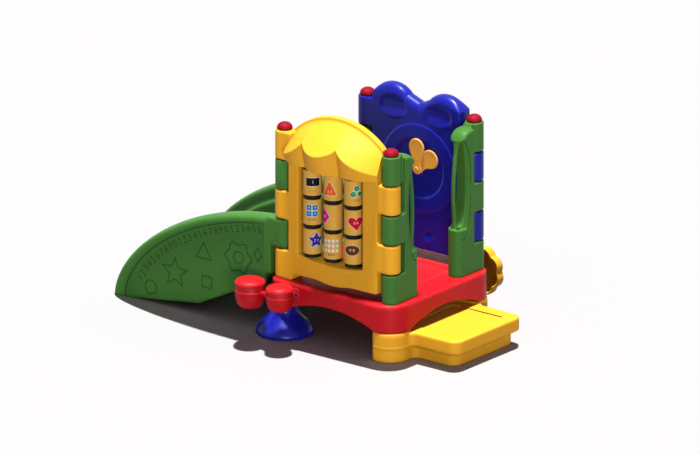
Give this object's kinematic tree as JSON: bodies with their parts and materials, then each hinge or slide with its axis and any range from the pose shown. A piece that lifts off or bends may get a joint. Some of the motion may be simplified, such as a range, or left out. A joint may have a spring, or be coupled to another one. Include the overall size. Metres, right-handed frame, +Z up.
{
  "type": "toddler play structure",
  "caption": "Low deck between corner posts with a slide, a step, a panel of turning barrels, a clock panel, bongo drums and a flower wheel, in bright moulded plastic.",
  "frame": {"origin": "middle of the bounding box, on the floor", "axes": "+X from the slide towards the step, +Y towards the clock panel, +Z up"},
  "size_m": [2.0968, 1.1476, 1.219],
  "materials": {
    "red": "smooth",
    "cap_red": "glossy",
    "yellow": "smooth",
    "green": "smooth",
    "blue": "glossy",
    "orange": "smooth",
    "barrel": "smooth",
    "black": "smooth",
    "steel": "satin"
  },
  "bodies": {
    "frame": {"deck": "red", "bongo_shells": "red", "bongo_head_large": "red", "bongo_head_small": "red", "wheel_cap": "red", "cap_left": "cap_red", "cap_front": "cap_red", "cap_right": "cap_red", "cap_back": "cap_red", "step_unit": "yellow", "number_panel": "yellow", "collar_left": "green", "collar_back": "green", "entry_panel_front": "green", "entry_panel_right": "green", "slide": "green", "foot_left": "blue", "foot_back": "blue", "clock_panel": "blue", "clock_pin": "orange", "spacer_1_1": "black", "spacer_1_2": "black", "spacer_1_3": "black", "spacer_1_4": "black", "spacer_2_1": "black", "spacer_2_2": "black", "spacer_2_3": "black", "spacer_2_4": "black", "spacer_3_1": "black", "spacer_3_2": "black", "spacer_3_3": "black", "spacer_3_4": "black", "post_left": "steel", "post_front": "steel", "post_right": "steel", "post_back": "steel", "barrel_rod_1": "steel", "barrel_rod_2": "steel", "barrel_rod_3": "steel", "bongo_bolt_1": "steel", "bongo_bolt_2": "steel", "wheel_axle": "steel", "wheel_spacer": "steel"},
    "barrel_body_1_1": {"barrel_1_1": "barrel"},
    "barrel_body_1_2": {"barrel_1_2": "barrel"},
    "barrel_body_1_3": {"barrel_1_3": "barrel"},
    "barrel_body_2_1": {"barrel_2_1": "barrel"},
    "barrel_body_2_2": {"barrel_2_2": "barrel"},
    "barrel_body_2_3": {"barrel_2_3": "barrel"},
    "barrel_body_3_1": {"barrel_3_1": "barrel"},
    "barrel_body_3_2": {"barrel_3_2": "barrel"},
    "barrel_body_3_3": {"barrel_3_3": "barrel"},
    "hour_hand_body": {"hour_hand": "orange"},
    "minute_hand_body": {"minute_hand": "orange"},
    "wheel_body": {"flower_wheel": "yellow"}
  },
  "joints": [
    {"name": "barrel_spin_1_1", "type": "hinge", "parent": "frame", "child": "barrel_body_1_1", "pos_m": [0.1874, -0.3328, 0.5475], "axis": [0, 0, 1], "continuous": true},
    {"name": "barrel_spin_1_2", "type": "hinge", "parent": "frame", "child": "barrel_body_1_2", "pos_m": [0.1874, -0.3328, 0.7045], "axis": [0, 0, 1], "continuous": true},
    {"name": "barrel_spin_1_3", "type": "hinge", "parent": "frame", "child": "barrel_body_1_3", "pos_m": [0.1874, -0.3328, 0.8615], "axis": [0, 0, 1], "continuous": true},
    {"name": "barrel_spin_2_1", "type": "hinge", "parent": "frame", "child": "barrel_body_2_1", "pos_m": [0.3194, -0.3328, 0.5475], "axis": [0, 0, 1], "continuous": true},
    {"name": "barrel_spin_2_2", "type": "hinge", "parent": "frame", "child": "barrel_body_2_2", "pos_m": [0.3194, -0.3328, 0.7045], "axis": [0, 0, 1], "continuous": true},
    {"name": "barrel_spin_2_3", "type": "hinge", "parent": "frame", "child": "barrel_body_2_3", "pos_m": [0.3194, -0.3328, 0.8615], "axis": [0, 0, 1], "continuous": true},
    {"name": "barrel_spin_3_1", "type": "hinge", "parent": "frame", "child": "barrel_body_3_1", "pos_m": [0.4514, -0.3328, 0.5475], "axis": [0, 0, 1], "continuous": true},
    {"name": "barrel_spin_3_2", "type": "hinge", "parent": "frame", "child": "barrel_body_3_2", "pos_m": [0.4514, -0.3328, 0.7045], "axis": [0, 0, 1], "continuous": true},
    {"name": "barrel_spin_3_3", "type": "hinge", "parent": "frame", "child": "barrel_body_3_3", "pos_m": [0.4514, -0.3328, 0.8615], "axis": [0, 0, 1], "continuous": true},
    {"name": "hour_hand_turn", "type": "hinge", "parent": "frame", "child": "hour_hand_body", "pos_m": [0.3604, 0.3191, 0.786], "axis": [0, -1, 0], "continuous": true},
    {"name": "minute_hand_turn", "type": "hinge", "parent": "frame", "child": "minute_hand_body", "pos_m": [0.3604, 0.3085, 0.786], "axis": [0, -1, 0], "continuous": true},
    {"name": "flower_wheel_spin", "type": "hinge", "parent": "frame", "child": "wheel_body", "pos_m": [0.5984, 0.5362, 0.234], "axis": [0, 1, 0], "continuous": true}
  ]
}
